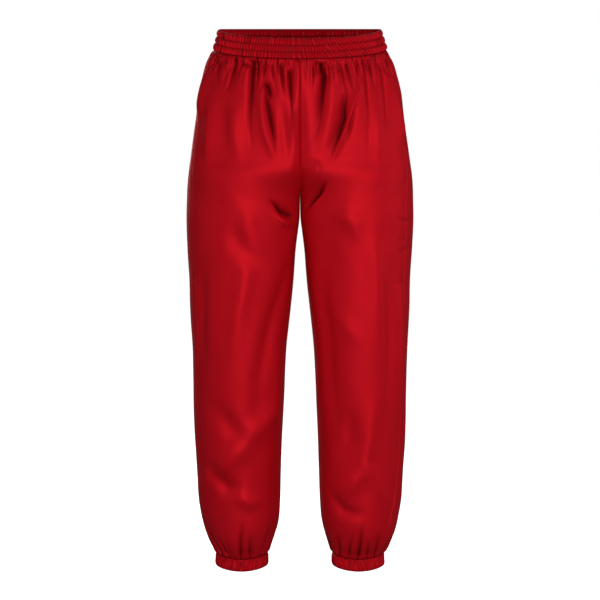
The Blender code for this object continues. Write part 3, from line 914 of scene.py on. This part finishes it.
def cuff_points(side, around, level, push, inset):
    arcs = arc_at(MEASURED_TURNS, np.full_like(MEASURED_TURNS, CUFF_TOP))
    turn = np.interp(around * arcs[-1], arcs, MEASURED_TURNS)
    x, y = section(turn, level)
    out_x, out_y = section_normal(turn, level)
    reach = push - inset
    points = np.stack((SIDES[side] * (x + out_x * reach), y + out_y * reach, level + cuff_arch(turn, level)), axis=-1)
    return points * MM, np.stack((SIDES[side] * out_x, out_y, np.zeros_like(out_x)), axis=-1)


def cuff_push(side, around, level):
    """The cuff swells over its elastic, and its ribs are finest in the middle of the front and of the back. Painted
    shade darkens its rib valleys.
    """
    within = np.clip((CUFF_TOP - level) / (CUFF_TOP - CUFF_BOTTOM), 0, 1)
    swell = np.sqrt(np.clip(4 * within * (1 - within), 0, 1))
    ribs = rib_height(SEED[side] + 5, around, CUFF_RIBS, 0.03, level)
    strong = 0.45 + 0.55 * np.exp(-(((np.abs(around - 0.5) - 0.25) / 0.12) ** 2))
    push = CUFF_SWELL * (swell - 1) + CUFF_RIB_HEIGHT * (ribs - 0.55) * strong * swell
    # The second value is painted shade in the rib valleys.
    return push, 1.4 * np.clip(0.45 - ribs, 0, 1) * strong


def add_cuff(side):
    level, inset, side_of_wall = ring_profile(CUFF_TOP, CUFF_BOTTOM, CUFF_WALL, 24, 3, 10)
    rows = len(level)
    ring, around, row = add_ring(f"cuff_{side}_cloth", CUFF_COLUMNS_ROUND, rows)
    at = row % rows
    push, painted_crease_shade = cuff_push(side, around % 1.0, level[at])
    points, outward = cuff_points(side, around % 1.0, level[at], push, inset[at])
    girth = float(arc_at(1.0, CUFF_TOP))
    outward = outward * side_of_wall[at][:, None]
    close_ring(ring, points, around, row / rows, girth, CUFF_TOP - CUFF_BOTTOM, outward, painted_crease_shade)
    return ring


for side in SIDES:
    cuff = add_cuff(side)
    cuff.data.materials.append(band_satin)
    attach(cuff, "root")
    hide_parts(f"cuff_{side}")
    print(cuff.name, len(cuff.data.polygons), "faces")

# %% Lights and floor
def add_area(name, place, aim, size, power):
    """A soft square light at a place, aimed at a point."""
    bpy.ops.object.light_add(type="AREA", location=place)
    light = bpy.context.object
    light.name = name
    light.data.size = size
    light.data.energy = power
    direction = np.array(aim) - np.array(place)
    yaw = np.arctan2(direction[0], -direction[1])
    tilt = np.arctan2(np.hypot(direction[0], direction[1]), -direction[2])
    light.rotation_euler = (tilt, 0.0, yaw + np.pi)


add_area("key", (0.5, -3.4, 0.2), (0.0, 0.0, -0.5), 1.8, 62)
add_area("low", (0.2, -2.6, -1.5), (0.0, 0.0, -0.3), 1.2, 6)
add_area("left", (-3.0, -1.2, 0.0), (0.0, 0.0, -0.5), 1.2, 10)
add_area("right", (3.0, -0.3, 0.0), (0.0, 0.0, -0.5), 1.0, 14)
add_area("rim", (0.3, 1.6, 1.6), (0.0, 0.0, -0.3), 1.6, 10)
add_area("back", (-1.4, 3.6, 0.5), (0.0, 0.0, -0.5), 1.8, 44)


def add_world():
    """White to the camera, and a weaker white light on the cloth."""
    world = bpy.data.worlds.new("studio")
    bpy.context.scene.world = world
    world.use_nodes = True
    start = Shade(world.node_tree)
    seen = start.node("ShaderNodeLightPath")
    plain = world.node_tree.nodes["Background"]
    plain.inputs["Color"].default_value = (1.0, 1.0, 1.0, 1.0)
    world.node_tree.links.new((seen * (1.0 - AMBIENT) + AMBIENT).socket, plain.inputs["Strength"])


def add_floor():
    """A pale floor below the cuffs. It throws no light on the cloth, which keeps its own shadows."""
    bpy.ops.object.select_all(action="DESELECT")
    bpy.ops.mesh.primitive_plane_add(size=FLOOR_SIZE, location=(0.0, 0.0, FLOOR_LEVEL))
    bpy.ops.object.transform_apply(location=True)
    floor = bpy.context.object
    floor.name = "floor"
    pale = bpy.data.materials.new("pale_floor")
    pale.use_nodes = True
    shader = pale.node_tree.nodes["Principled BSDF"]
    shader.inputs["Base Color"].default_value = (0.92, 0.92, 0.92, 1.0)
    shader.inputs["Roughness"].default_value = 0.9
    shader.inputs["Emission Color"].default_value = (1.0, 1.0, 1.0, 1.0)
    shader.inputs["Emission Strength"].default_value = 1.0
    floor.data.materials.append(pale)
    floor.visible_glossy = False
    floor.visible_diffuse = False


AMBIENT = 0.12
FLOOR_LEVEL = -1.30
FLOOR_SIZE = 14.0
add_world()
add_floor()
bpy.context.scene.view_settings.view_transform = "Standard"
